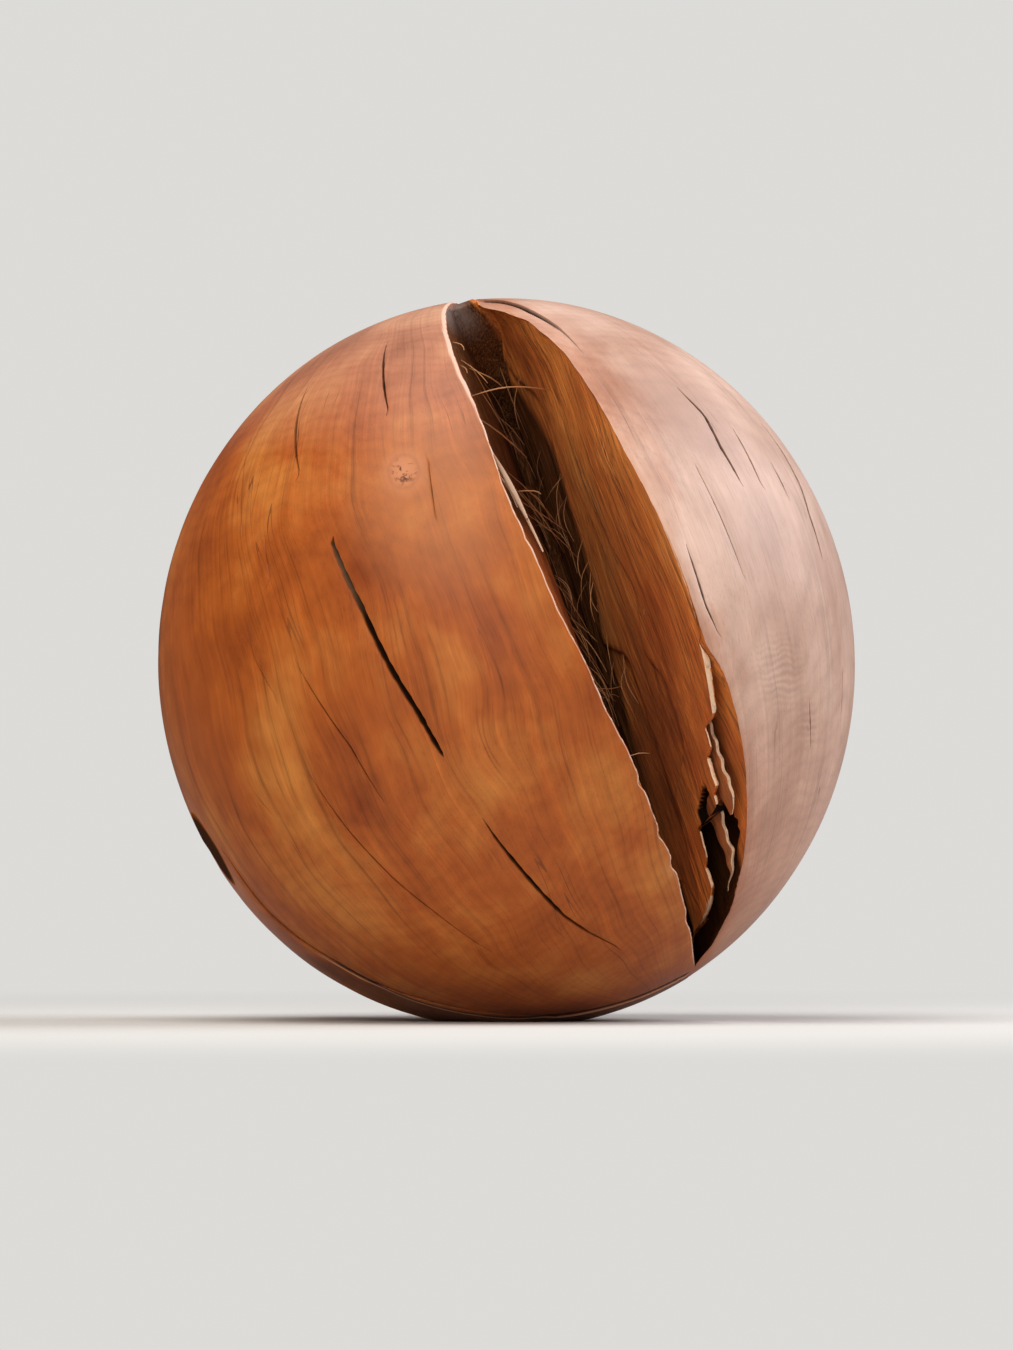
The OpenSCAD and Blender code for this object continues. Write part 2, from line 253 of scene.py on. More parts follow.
def chips(height, side):
    """Wander and chips of a lip's edge, in mm into the wood."""
    bite = 0.22 * np.sin(height * 0.071 + side) + 0.16 * np.sin(height * 0.37 + 3 * side)
    for at, size in ((-104, 2.0), (-137, 1.8), (-156, 2.4), (-188, 1.6), (62, 0.8), (104, 0.7)):
        bite += side * size * unit(1 - np.abs(height - at) / 5)
    return bite


def anchor_angle(anchor, height, r, shut):
    """Direction round the pith, in radians, of an anchor column at each height."""
    track, step = anchor
    r = np.maximum(r, 8)
    if track in (-1, len(TRACKS)):
        side = 1 if track > 0 else 0
        lip = (LEFT_LIP if side else RIGHT_LIP)(height)
        edge = np.radians(SHUT_AT + (lip - SHUT_AT) * shut) + (1 - 2 * side) * chips(height, side) / r * shut
        return edge + side * math.tau + np.sign(step) * np.minimum((0, 0.5, 1.3, 3.4)[abs(step)] / r, 0.01 * abs(step))
    half = check_shape(track, height)[0] / 2
    aside = (0 * height, half, half + 1.3)[abs(step)]
    return np.radians(PATHS[track](height)) + np.sign(step) * np.minimum(aside / r, 0.012 * abs(step))


def skin_columns():
    """The skin's columns from the right lip round to the left one, as (anchor, next anchor, share of the way)."""
    steps = (-2, -1, 0, 1, 2)
    anchors = [(-1, 0), (-1, 1), (-1, 2), (-1, 3)]
    anchors += [(track, step) for track in range(len(TRACKS)) for step in steps]
    anchors += [(len(TRACKS), step) for step in (-3, *steps[:3])]
    columns = []
    for one, two in zip(anchors, anchors[1:]):
        columns.append((one, two, 0.0))
        if one[0] != two[0]:
            ends = [math.degrees(float(anchor_angle(a, np.zeros(1), 230, 1)[0])) for a in (one, two)]
            gap = 3.6 if two[0] == LEDGE else 2.0
            fill = max(round((ends[1] - ends[0]) / gap), 2)
            columns += [(one, two, k / fill) for k in range(1, fill)]
    return columns + [(anchors[-1], anchors[-1], 0.0)]


def row_angles():
    """Polar angles of the rows, closer together where the strips have broken away."""
    even = np.linspace(0, 180, 1801)
    weight = 1 + 0.5 * np.exp(-((even - 122) / 24) ** 2)
    total = np.concatenate([[0], np.cumsum((weight[1:] + weight[:-1]) / 2)])
    return np.radians(np.interp(np.linspace(0, total[-1], ROWS), total, even))


def ledge_at(points):
    """How far points of the skin are behind the ledge that crosses under the ball's front, in mm, and whether
    they are low enough to belong to it."""
    x, y, z = np.moveaxis(points @ TURN.T + np.array(PITH_AT - CENTRE), -1, 0)
    behind = y + 61.5 - 0.155 * x - 0.0008 * x ** 2
    return np.clip(behind, -60, 60), unit((-184 - z) / 8) * unit((119 - x) / 4)


def skin():
    """Places of the skin's rows and columns in the pith frame, how deep each is in a check, its closeness to a lip
    and how far it is behind the ledge, in mm."""
    columns = skin_columns()
    polar = row_angles()[:, None] * np.ones(len(columns))
    ahead = np.full(ROWS, math.radians(SHUT_AT))
    open_to = polar[:, 0][np.argmax(reach(polar[:, 0], ahead) * np.cos(polar[:, 0]) <= FOOT)]
    shut = unit((open_to - polar[:, 0]) / 0.04)
    distance = np.full(polar.shape, float(MEAN_R))
    angle = np.zeros(polar.shape)
    for _ in range(4):
        height, r = distance * np.cos(polar), distance * np.sin(polar)
        for k, (one, two, share) in enumerate(columns):
            first = anchor_angle(one, height[:, k], r[:, k], shut)
            second = anchor_angle(two, height[:, k], r[:, k], shut)
            angle[:, k] = first * (1 - share) + second * share
        distance = reach(polar, angle)
    height, r = distance * np.cos(polar), distance * np.sin(polar)
    depth, lip = np.zeros(polar.shape), np.zeros(polar.shape)
    for k, (one, two, share) in enumerate(columns):
        if 0 <= one[0] < len(TRACKS) and share == 0:
            deep = check_shape(one[0], height[:, k])[1]
            depth[:, k] = {0: deep, 1: np.minimum(0.25, deep)}.get(abs(one[1]), 0 * deep)
        for place, anchor in ((share, one), (1 - share, two)):
            if anchor[0] == len(TRACKS) and place == 0:
                wide = unit((height[:, k] - 120) / 60)
                narrow, broad = (1, 0.85, 0.3, 0)[abs(anchor[1])], (1, 1, 0.95, 0.45)[abs(anchor[1])]
                lip[:, k] = (narrow + (broad - narrow) * wide) * shut
            if anchor[0] == -1 and place == 0:
                lip[:, k] = (0.6, 0.3, 0, 0)[abs(anchor[1])] * shut
    worn = np.zeros(polar.shape)
    worn[:, :3] = shut[:, None] * (0.35, 0.1, 0)
    worn[:, -3:] = shut[:, None] * (0.1, 0.4, 0.9)
    near_ledge = unit(1 - np.abs(height + 131) / 85) ** 0.4
    beyond = np.array([c[0][0] == LEDGE - 1 or (c[0][0] == LEDGE and c[0][1] < 0) for c in columns])
    gap = np.degrees(anchor_angle((LEDGE, 0), height, r, 1) - angle)
    rise = 1.4 * near_ledge * beyond * unit(1 - gap / 26) * (height > -216)
    ledge, here = ledge_at(spot(r, angle, height))
    rise = np.maximum(rise, 1.5 * here * unit(ledge / 4 + 0.5) * unit(1 - ledge / 40))
    rise = rise - 1.2 * here * np.exp(-(ledge / 2.2) ** 2)
    strip = np.array([c[0][0] == -1 or (c[0][0] == 0 and c[0][1] < 0) for c in columns])
    rise = rise - 2.0 * strip * unit((height - 192) / 25) * unit((242 - height) / 4)
    distance = distance - depth - worn + rise - 0.35 * (1 - unit(depth)) * (
        0.5 + 0.5 * wobble(spot(r, angle, height), (0.03, 0.03, 0.012)))
    pole = unit(np.sin(polar) * 20)
    distance = distance * pole + reach(polar, angle) * (1 - pole)
    points = spot(distance * np.sin(polar), angle, distance * np.cos(polar))
    # The worn patch is a small flat: what stands out past its plane is pressed onto it
    past = points @ PATCH_WAY - (PATCH_AT - START @ PATCH_WAY)
    points = points - np.maximum(past, 0)[..., None] * PATCH_WAY
    return points, depth, lip, ledge, int(np.argmax(shut <= 0))


def terraces(points, seed, step):
    """Torn layers: noise drawn out along the fibres and cut into steps, in mm."""
    rough = wobble(points, (0.030, 0.030, 0.0042), seed) + 0.35 * wobble(points, (0.11, 0.11, 0.012), seed + 9)
    level = rough / step
    edge = level - np.floor(level)
    return (np.floor(level) + unit((edge - 0.35) / 0.3)) * step


def torn_wall(points, coarse, fine, seed, fine_seed):
    """How far a torn wall stands out at each point, in mm, from its coarse layers and its fine ridges."""
    return coarse * terraces(points, seed, 0.33) + fine * wobble(points, (0.5, 0.5, 0.03), fine_seed)


def left_wall(out, turn, height_at, inner, ease_rows):
    """The left wall from its lip to the heart, as (r, angle, height)."""
    share = np.linspace(0, 1, LEFT_COLUMNS) ** 1.15
    r = out * (1 - share) + inner * share
    height = height_at(r)
    torn = torn_wall(spot(r, turn + 0 * r, height), 1.9, 0.35, 3, 0)
    ease = unit((out - r) / 5) * ease_rows * np.clip(r / 60, 0.15, 1) * np.clip((262 - height) / 110, 0.1, 1)
    even = turn + (np.radians(LEFT_LIP(height)) - turn) * unit((out - r) / 8) * ease_rows
    return r, even - (torn + 1.2) * ease / np.maximum(r, 12), height


def steady(end):
    """The greatest of a column of values over the rows near each one, evened out: never less than the value."""
    near_rows = 2 * NEAR_ROWS + 1
    for combine in (np.max, np.mean):
        padded = np.pad(end.ravel(), NEAR_ROWS, mode="edge")
        end = combine(np.lib.stride_tricks.sliding_window_view(padded, near_rows), axis=1)[:, None]
    return end


def right_wall(out, turn, height_at, inner, ease_rows):
    """The right wall from its lip in along the shell, back out behind the plate, over the plate's edge and
    in along its front to the heart, as (r, angle, height, painted highlight on the plate's edge and the tongue's tip,
    foot of a step, in painted shade)."""
    up = height_at(out)
    ragged = 1.1 * wobble(spot(0 * up, 0 * up, up), (1, 1, 0.16), 4) * unit((-20 - up) / 20)
    end = np.minimum(PLATE_END(up) + ragged, out - PLATE_SINK(up))
    end = np.maximum(end, inner + 2)
    slope = np.abs(PLATE_END(up + 1.5) - PLATE_END(up - 1.5)) / 3
    whole_edge = np.maximum(np.clip(1.7 - slope, 0.15, 1), unit((-170 - up) / 4))
    root = np.minimum(np.maximum(end - GAP_DEPTH(up), inner + 14), end)
    shell_share = np.linspace(0, 1, SHELL_COLUMNS)
    back_share = np.linspace(0, 1, BACK_COLUMNS + 1)[1:]
    front_share = np.linspace(0, 1, FRONT_COLUMNS + 1)[1:] ** 1.05
    calm = steady(end)
    shell_r = out * (1 - shell_share) + root * shell_share
    back_r = root * (1 - back_share) + end * back_share
    front_r = np.minimum(calm * (1 - front_share) + inner * front_share,
                         end - 0.12 * np.arange(1, FRONT_COLUMNS + 1) * (end - inner > 20))

    def hole_at(r):
        """How far each place is inside the hole between the long tongue and the wall, from 0 to 1."""
        below = -110 - height_at(r)
        hole = unit((r - np.maximum(133 - 2.0 * below, 108)) / 5)
        hole *= unit((np.minimum(134.5 + 0.35 * below, end - 3) - r) / 1.5)
        return hole * unit(below / 1.5) * unit((end - 120) / 4)

    def below_tongue(r):
        """How far each place is below the long tongue's lower end, from 0 to 1."""
        return unit((np.interp(r, *zip(*TONGUE_FOOT)) - height_at(r)) / 3)

    def front_at(r):
        """Direction of the plate's front round the pith."""
        height = height_at(r)
        inward = unit((end - r) / 5) * np.clip(r / 60, 0.15, 1) * np.clip((262 - height) / 110, 0.1, 1)
        torn = torn_wall(spot(r, turn + 0 * r, height), 1.5, 0.3, 8, 1)
        calm = np.clip((222 - height) / 30, 0.05, 1)
        for path, step in PLATE_STEPS:
            torn = torn + step * calm * unit((path(height) - r) / 2.0 + 0.5)
        torn = torn + 5 * below_tongue(r)
        base = RIGHT_WALL(up) - RIGHT_LIP(up) + HOLE_PUSH * hole_at(r)
        return lip_at(r) + np.radians(base) * ease_rows + (torn + 0.6) * inward * ease_rows / np.maximum(r, 12)

    def lip_at(r):
        """Direction of the lip, without its chips further in."""
        return turn + (np.radians(RIGHT_LIP(up)) - turn) * unit((out - r) / 8) * ease_rows

    def shell_at(r):
        """Direction of the shell's inner face round the pith, with the hollow in it."""
        height = height_at(r)
        hollow = unit((np.minimum(136, out - 16) - r) / 6) * unit((-108 - height) / 5)
        torn = torn_wall(spot(r, turn + 0 * r, height), 1.0, 0.25, 6, 2)
        ease = unit((out - r) / 6) * ease_rows * unit((66 - height) / 30)
        return lip_at(r) + (np.radians(4.2) * hollow * ease_rows + (torn + 0.4) * ease / np.maximum(r, 12))

    thick = PLATE_THICK(up) * ease_rows * whole_edge
    shell = shell_at(shell_r)
    edge_front = front_at(end)
    back_thick = thick + (PLATE_THICK(up) * ease_rows - thick) * unit((end - back_r) / 6)
    back = front_at(back_r) + back_thick / back_r
    back = np.minimum(back, shell_at(back_r) - 0.6 / back_r * unit(end - root))
    edge_share = np.linspace(0, 1, EDGE_COLUMNS)
    bow = 0.5 * np.sin(np.pi * edge_share) * unit(thick)
    gap_share = np.linspace(0, 1, GAP_COLUMNS + 2)[1:-1]
    gap = shell[:, -1:] * (1 - gap_share) + back[:, :1] * gap_share
    edge = back[:, -1:] * (1 - edge_share) + edge_front * edge_share
    r = np.concatenate([shell_r, root * np.ones(GAP_COLUMNS), back_r, end + bow, front_r], 1)
    angle = np.concatenate([shell, gap, back, edge, front_at(front_r)], 1)
    height = height_at(r)
    shell_end = SHELL_COLUMNS + GAP_COLUMNS
    back_end = shell_end + BACK_COLUMNS
    edge_end = back_end + EDGE_COLUMNS
    rim, crease = np.zeros(r.shape), np.zeros(r.shape)
    # Painted highlight on the plate's broken edge in the lower part of the wall
    rim[:, back_end:edge_end] = unit((58 - up) / 16) * unit(3 * whole_edge - 1.5)
    for path, step in PLATE_STEPS:
        past = path(height_at(front_r)) - front_r
        crease[:, edge_end:] += min(step / 2.6, 1) * np.exp(-((past - 2.5) / 2.2) ** 2)
    crease *= unit((222 - height) / 30)
    # Painted shade, near black: low down and deep in the gap, under the tongue, in the hole beside it and along the
    # hole's foot
    painted_shade = np.clip((-148 - height) / 34, 0, 0.95)
    painted_shade = np.maximum(painted_shade, np.clip((134 - r) / 12, 0, 0.95) * unit((-102 - height) / 8))
    painted_shade[:, back_end:] = 0
    dark = sum(2 * hole_at(front_r + aside) for aside in (0, 2, 4))
    painted_shade[:, edge_end:] = unit(np.maximum(2 * below_tongue(front_r), dark))
    hole_foot = unit((153 - r) / 3) * unit((r - 95) / 3)
    hole_foot *= unit((-124 - height) / 1.5) * unit((height + 135) / 2)
    painted_shade[:, shell_end:edge_end] = hole_foot[:, shell_end:edge_end]
    hole_foot = hole_foot * (end < 125) * (end > 98)
    painted_shade[:, back_end:] = np.maximum(painted_shade[:, back_end:], hole_foot[:, back_end:])
    # Painted highlight along the edge of the long tongue's tip
    tip = unit((-168 - height) / 8) * unit(1.4 - (end - r) / 20)
    rim[:, edge_end:] = tip[:, edge_end:]
    rim *= unit((r - 36) / 8)
    # The plate is one with the shell above the gap
    whole = (up > 46).ravel()
    for values, lip in ((r, out), (angle, turn)):
        values[whole, :edge_end] = lip[whole]
    return r, angle, height_at(r), rim, crease, painted_shade


def walls(lips, rows):
    """Places of the fissure's walls in the pith frame, from the left lip in to the heart and out to the right lip,
    and their layers: how far each is in from the skin in mm, and from 0 to 1 whether it is on a broken edge with a
    painted highlight, at the foot of a step, in painted shade, in decayed wood, under a painted grey reflection of the
    sky, and in the parts of the right wall that are painted lighter as painted light."""
    out = [np.hypot(lip[:rows, 0], lip[:rows, 1])[:, None] for lip in lips]
    turn = [np.arctan2(lip[:rows, 0], -lip[:rows, 1])[:, None] for lip in lips]
    up = [lip[:rows, 2:] for lip in lips]
    middle_up = (up[0] + up[1]) / 2
    closed = (np.arange(rows) == rows - 1)[:, None]
    narrow = np.minimum(*out)
    heart = np.where(closed, 0.5, np.minimum(HEART_R(middle_up), 0.5 * narrow))
    inner = np.minimum(heart + RUN_OUT(middle_up), narrow - np.minimum(1.2, 0.1 * narrow))
    ease = unit((rows - 1 - np.arange(rows)) / 5)[:, None]
    height_at = [lambda r, side=side: up[side] + (middle_up - up[side]) * (out[side] - r)
                 / np.maximum(out[side] - inner, 1e-6) for side in (0, 1)]
    r0, a0, h0 = left_wall(out[0], turn[0], height_at[0], inner, ease)
    r1, a1, h1, rim, crease, painted_shade = right_wall(out[1], turn[1], height_at[1], inner, ease)

    def across(left, heart, right):
        """The left wall, the heart and the right wall side by side, from lip to lip."""
        return np.concatenate([left, heart, right[:, ::-1]], 1)

    # The heart is an arc round the back of the pith, which opens to a flat back where the walls end further out
    bend = np.linspace(0, 1, HEART_COLUMNS + 2)[1:-1]
    ends = [spot(r[:, -1], angle[:, -1], height[:, -1])[:, None] for r, angle, height in ((r0, a0, h0), (r1, a1, h1))]
    chord = ends[0] * (1 - bend[:, None]) + ends[1] * bend[:, None]
    bulge = heart * np.clip(1 - RUN_OUT(middle_up) / 24, 0.12, 1) * np.where(closed, 0, 1)
    push = np.sin(np.pi * bend) ** 0.5 * bulge * (1 + 0.3 * wobble(chord, (0.12, 0.12, 0.03)))
    middle = (a0[:, -1:] + a1[:, -1:]) / 2 + 0 * push
    chord += spot(-2 * push, middle, 0 * push)
    chord += spot(0.7 * np.cos(np.pi * bend) * bulge, middle - math.pi / 2, 0 * push)
    points = across(spot(r0, a0, h0), chord, spot(r1, a1, h1))
    last = points.shape[1] - 1
    mirror = np.round(np.linspace(LEFT_COLUMNS - 1, 0, last + 1 - LEFT_COLUMNS)).astype(int)
    points[-1, LEFT_COLUMNS:] = points[-1, mirror]
    points[:, 0], points[:, -1], points[0] = lips[0][:rows], lips[1][:rows], lips[0][0]
    inset = across(out[0] - r0, out[0] - inner + 2 * push, out[1] - r1)
    far = unit((DECAY(h1) - r1) / 14 + 0.5) * (1 - unit((h1 - 196) / 20))
    behind = 1 - unit((middle_up - 206) / 20) * unit((bend - 0.72) / 0.2) + 0 * push
    near_heart = unit((DECAY(h0) + 26 - r0) / 20)
    near_heart = np.maximum(near_heart, unit((h0 - 40) / 50)) * unit((out[0] - r0 - 1.5) / 3)
    # Painted reflection: grey sky light on the heart's back near the crown
    painted_sky_reflection = unit((middle_up - 212) / 16)
    painted_sky_reflection = across(painted_sky_reflection + 0 * r0, painted_sky_reflection * unit((0.75 - bend) / 0.4), 0 * r1)
    # Painted light: the right wall is painted lighter high up and, less so, low down
    painted_wall_light = np.maximum(unit((h1 - 60) / 80), np.clip((-118 - h1) / 20, 0, 0.6))
    layers = {"inset": inset, "decay": across(near_heart, behind, far), "painted_sky_reflection": painted_sky_reflection}
    for name, value in (("rim", rim), ("crease", crease), ("painted_shade", painted_shade), ("painted_wall_light", painted_wall_light)):
        layers[name] = across(0 * r0, 0 * push, value)
    return points, layers


def add_grid(bm, points, values, material):
    """Adds a grid with a vertex for each row and column of points, and sets the named layers to values there."""
    rows, columns = points.shape[:2]
    for name in values:
        if name not in bm.verts.layers.float:
            bm.verts.layers.float.new(name)
    layers = [(bm.verts.layers.float[name], value.ravel()) for name, value in values.items()]
    made = bmesh.ops.create_grid(bm, x_segments=columns - 1, y_segments=rows - 1, size=1)["verts"]
    for k, (vert, place) in enumerate(zip(made, placed(points.reshape(-1, 3)))):
        vert.co = place
        for layer, value in layers:
            vert[layer] = value[k]
    for face in {face for vert in made for face in vert.link_faces}:
        face.material_index = material
        face.smooth = True


def new_piece(bm, name, materials):
    """Makes the object of a finished bmesh and gives it to the frame's one body."""
    bmesh.ops.recalc_face_normals(bm, faces=bm.faces)
    if bm.calc_volume(signed=True) < 0:
        bmesh.ops.reverse_faces(bm, faces=bm.faces)
    for edge in bm.edges:
        sides = {face.material_index for face in edge.link_faces}
        if len(edge.link_faces) == 2 and (len(sides) > 1 or edge.calc_face_angle(0) > SHARP_EDGE):
            edge.smooth = False
    mesh = bpy.data.meshes.new(name)
    bm.to_mesh(mesh)
    bm.free()
    for material in materials:
        mesh.materials.append(material)
    piece = bpy.data.objects.new(name, mesh)
    bpy.context.collection.objects.link(piece)
    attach(piece, "root")
    return piece


def add_plate(bm, plane, inner, outer, seed):
    """Adds a splinter as a plate that faces the opening, between the knots of an inner and an outer edge."""
    rows, across, thick = 64, 22, 4
    top, foot = inner[0][0], inner[-1][0]
    height = np.linspace(top, foot, rows)[:, None] * np.ones((1, across))
    share = np.linspace(0, 1, across)[None, :]
    near, far = (line(edge, 2)(height[:, :1]) for edge in (inner, outer))
    tip = unit((height[:, :1] - foot) / 6)
    far = far + 1.3 * np.sin(height[:, :1] * 0.53 + seed) * tip
    near = np.minimum(near + 1.0 * np.sin(height[:, :1] * 0.37 + seed) * tip, far - 0.6)
    r = near * (1 - share) + far * share
    points = spot(r, 0 * r, height)
    thin = np.sin(np.pi * (0.04 + 0.92 * share)) ** 0.4 * np.clip((height - foot) / 14, 0.25, 1)
    relief = 1.1 * terraces(points, seed, 0.4)
    front = np.radians(plane) + (relief - thick * thin / 2) / r
    back = np.radians(plane) + (relief + thick * thin / 2) / r
    ring = [np.concatenate([a, b[:, ::-1], a[:, :1]], 1) for a, b in ((r, r), (front, back), (height, height))]
    points = spot(*ring)
    head, tail = (end.mean(1, keepdims=True) * np.ones(end.shape) for end in (points[:1], points[-1:]))
    points = np.concatenate([head, points, tail])
    edge = np.concatenate([ring[0][:1], ring[0], ring[0][-1:]])
    shares = np.concatenate([share, share[:, ::-1], share[:, :1]], 1) * np.ones((rows, 1))
    # Painted highlight along the splinter's outer edge
    rim = np.concatenate([0 * shares[:1], unit((shares - 0.93) / 0.04), 0 * shares[:1]])
    add_grid(bm, points, {"inset": MEAN_R - edge, "rim": rim, "tip": unit((-150 - points[..., 2]) / 40)}, 0)


def add_thread(bm, path, thick, sides=6):
    """Adds a fibre: a thin tube through vectors given in millimetres in the ball's frame."""
    for _ in range(2):
        path = [path[0]] + [(a + b * 2 + c) / 4 for a, b, c in zip(path, path[1:], path[2:])] + [path[-1]]
        path = [p for a, b in zip(path, path[1:]) for p in (a, (a + b) / 2)] + [path[-1]]
    rings = []
    for k, place in enumerate(path):
        ahead = (path[min(k + 1, len(path) - 1)] - path[max(k - 1, 0)]).normalized()
        size = thick / 2 * (0.25 + 0.75 * math.sin(math.pi * (0.1 + 0.8 * k / (len(path) - 1))))
        turn = Matrix.Translation(place * MM) @ ahead.to_track_quat("Z", "Y").to_matrix().to_4x4()
        rings.append(bmesh.ops.create_circle(bm, segments=sides, radius=size * MM, matrix=turn,
                                             cap_ends=k in (0, len(path) - 1))["verts"])
    for one, two in zip(rings, rings[1:]):
        edges = [edge for ring in (one, two) for edge in {e for v in ring for e in v.link_edges}
                 if all(v in ring for v in edge.verts)]
        bmesh.ops.bridge_loops(bm, edges=edges)


def srgb(red, green, blue):
    """A screen colour, 0 to 255, as a linear colour."""
    return tuple(((c / 255 + 0.055) / 1.055) ** 2.4 if c > 10 else c / 255 / 12.92 for c in (red, green, blue))


def rgba(colour):
    """A grey level or a linear colour as a colour with alpha, and a socket as it is."""
    if isinstance(colour, bpy.types.NodeSocket):
        return colour
    return (*((colour,) * 3 if isinstance(colour, (int, float)) else colour), 1.0)


# Drops the part of a pith frame vector that runs along the pith
ACROSS = (1, 1, 0)


class Nodes:
    """Adds shader nodes to a tree. Its calls return the socket that holds their result."""

    def __init__(self, tree):
        self.tree = tree

    def add(self, kind, inputs=None, **settings):
        """Adds a node with its settings, links or fills its inputs, and returns its outputs."""
        made = self.tree.nodes.new("ShaderNode" + kind)
        for name, value in settings.items():
            setattr(made, name, value)
        for name, value in (inputs or {}).items():
            if isinstance(value, bpy.types.NodeSocket):
                self.link(value, made.inputs[name])
            else:
                made.inputs[name].default_value = value
        return made.outputs

    def link(self, value, socket):
        self.tree.links.new(value, socket)

    def math(self, operation, *values, clamp=False):
        return self.add("Math", dict(enumerate(values)), operation=operation, use_clamp=clamp)[0]

    def times(self, one, two, clamp=False):
        return self.math("MULTIPLY", one, two, clamp=clamp)

    def scale(self, value, factor, offset):
        """A value times a factor, plus an offset."""
        return self.math("MULTIPLY_ADD", value, factor, offset)

    def fit(self, value, factor, offset):
        """A value times a factor, plus an offset, held between 0 and 1."""
        return self.math("MULTIPLY_ADD", value, factor, offset, clamp=True)

    def vector(self, operation, *values):
        made = self.add("VectorMath", dict(enumerate(values)), operation=operation)
        return made["Value" if operation in ("LENGTH", "DOT_PRODUCT") else "Vector"]

    def joined(self, *parts):
        return self.add("CombineXYZ", dict(enumerate(parts)))[0]

    def axes(self, vector):
        return self.add("SeparateXYZ", {0: vector})

    def mix(self, share, one, two, how="MIX"):
        return self.add("Mix", {0: share, 6: rgba(one), 7: rgba(two)}, data_type="RGBA", blend_type=how)[2]

    def tint(self, share, one, two):
        return self.mix(share, one, two, "MULTIPLY")

    def ramp(self, value, *stops):
        """Colour of a value between (place, colour) stops."""
        made = self.tree.nodes.new("ShaderNodeValToRGB")
        self.link(value, made.inputs["Fac"])
        while len(made.color_ramp.elements) < len(stops):
            made.color_ramp.elements.new(0.5)
        for element, (place, colour) in zip(made.color_ramp.elements, stops):
            element.position, element.color = place, rgba(colour)
        return made.outputs["Color"]

    def noise(self, vector, scale, detail=3.0, rough=0.55, twist=0.0):
        """Noise of about 0 to 1 on a vector whose axes are scaled apart first."""
        return self.add("TexNoise", {"Vector": self.vector("MULTIPLY", vector, scale), "Scale": 1.0, "Detail": detail,
                                     "Roughness": rough, "Distortion": twist})["Fac"]

    def bump(self, relief, strength, distance):
        return self.add("Bump", {"Height": relief, "Strength": strength, "Distance": distance})[0]

    def attribute(self, name):
        return self.add("Attribute", attribute_name=name)["Fac"]

    def object_place(self):
        return self.add("TexCoord")["Object"]

    def shared(self, name, make, inputs):
        """Outputs of the node group of that name, which is made when it is first used."""
        return self.add("Group", inputs, node_tree=bpy.data.node_groups.get(name) or make())

    def near(self, vector, place, half_size):
        """Closeness to a place of the pith frame, given in mm with the half sizes that it fades over."""
        inputs = {"Vector": vector, "Place": [c * MM for c in place], "Half Size": [c * MM for c in half_size]}
        return self.shared("Near", near_group, inputs)["Near"]


def new_group(name, inputs, outputs):
    """The nodes of an empty node group, and its inner ends. Its sockets are given as label and kind."""
    group = bpy.data.node_groups.new(name, "ShaderNodeTree")
    for end, sockets in (("INPUT", inputs), ("OUTPUT", outputs)):
        for label, kind in sockets.items():
            group.interface.new_socket(label, in_out=end, socket_type="NodeSocket" + kind)
    return Nodes(group), group.nodes.new("NodeGroupInput").outputs, group.nodes.new("NodeGroupOutput").inputs


def pith_frame_group():
    """A place on the ball to the same place measured along and across the pith, in metres."""
    n, given, result = new_group("Pith Frame", {"Vector": "Vector"},
                                 {"Vector": "Vector", "Radius": "Float", "Angle": "Float"})
    moved = n.vector("SUBTRACT", given["Vector"], PITH_AT * MM)
    parts = [n.vector("DOT_PRODUCT", moved, axis) for axis in PITH_TURN.col]
    place = n.joined(*parts)
    n.link(place, result["Vector"])
    n.link(n.vector("LENGTH", n.vector("MULTIPLY", place, ACROSS)), result["Radius"])
    n.link(n.math("ARCTAN2", parts[0], n.times(parts[1], -1.0)), result["Angle"])
    return n.tree


def figure_group():
    """Fibres, pores, hairlines, clouds and growth rings of the wood, each as a value from 0 to 1."""
    labels = ("Fibres", "Pores", "Grain", "Hairs", "Clouds", "Rings")
    n, given, result = new_group("Wood Figure", {"Vector": "Vector", "Radius": "Float"}, dict.fromkeys(labels, "Float"))
    vector = given["Vector"]
    sway = n.noise(vector, (6, 6, 5), 2.0)
    bent = n.vector("ADD", vector, n.joined(n.times(sway, 0.05), n.times(sway, -0.05)))
    # Streaks and hairlines of the skin run along the pith at one angle round it, whatever their radius
    around = n.vector("ADD", n.vector("NORMALIZE", n.vector("MULTIPLY", bent, ACROSS)),
                      n.vector("MULTIPLY", bent, (0, 0, 5)))
    # A hairline is where a drawn-out noise crosses its middle value, in some places only
    crossing = n.math("ABSOLUTE", n.math("SUBTRACT", n.noise(around, (16, 16, 0.8), 2.0, 0.4), 0.5))
    here = n.fit(n.noise(vector, (21, 21, 8), 1.0), 7.0, -3.6)
    waved = n.math("ADD", given["Radius"], n.times(n.noise(vector, (9, 9, 3)), 0.06))
    values = (n.noise(bent, (230, 230, 4), 5.0, 0.66), n.noise(bent, (950, 950, 14), 2.0, 0.5),
              n.noise(around, (55, 55, 1.0), 6.0, 0.72), n.times(n.math("LESS_THAN", crossing, 0.005), here),
              n.noise(vector, (13, 13, 9), 4.0, 0.6), n.scale(n.math("SINE", n.times(waved, 900.0)), 0.5, 0.5))
    for label, value in zip(labels, values):
        n.link(value, result[label])
    return n.tree


def near_group():
    """Closeness to a place: 1 there, and 0 on an ellipsoid of the given half sizes round it and beyond."""
    n, given, result = new_group("Near", dict.fromkeys(("Vector", "Place", "Half Size"), "Vector"), {"Near": "Float"})
    share = n.vector("DIVIDE", n.vector("SUBTRACT", given["Vector"], given["Place"]), given["Half Size"])
    n.link(n.math("SUBTRACT", 1.0, n.vector("LENGTH", share), clamp=True), result["Near"])
    return n.tree


